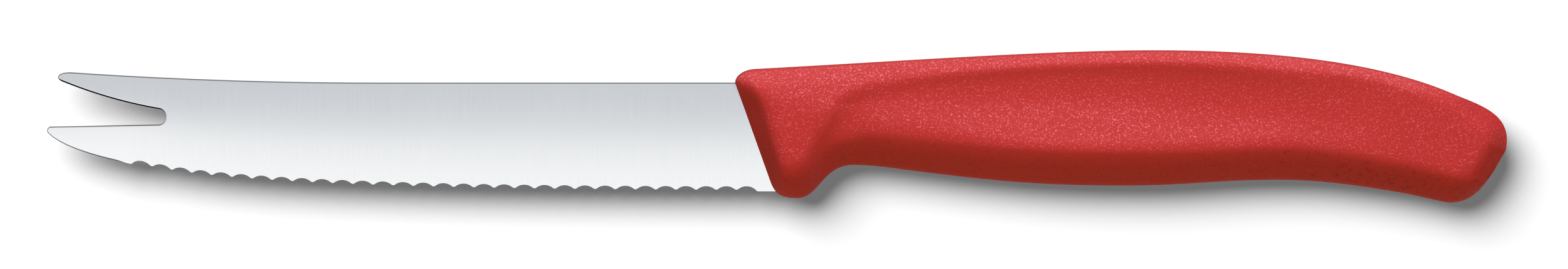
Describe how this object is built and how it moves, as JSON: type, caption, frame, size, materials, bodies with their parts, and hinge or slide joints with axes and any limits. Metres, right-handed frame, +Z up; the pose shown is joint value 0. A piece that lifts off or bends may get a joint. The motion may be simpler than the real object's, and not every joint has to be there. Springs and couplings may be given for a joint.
{
  "type": "cheese knife",
  "caption": "Cheese knife with a forked tip, a wavy ground cutting edge and a one-piece red moulded handle with a finger guard.",
  "frame": {"origin": "centre of the knife's outline, at the level of the surface it lies on", "axes": "+X from the forked tip to the butt, +Y from the cutting edge to the spine, +Z up through the knife's thickness as it lies on its right side"},
  "size_m": [0.2266, 0.0236, 0.014],
  "materials": {
    "steel": "satin ground stainless steel",
    "red_plastic": "moulded with a fine spark-eroded grain"
  },
  "bodies": {
    "root": {"blade": "steel", "handle": "red_plastic"}
  },
  "joints": []
}
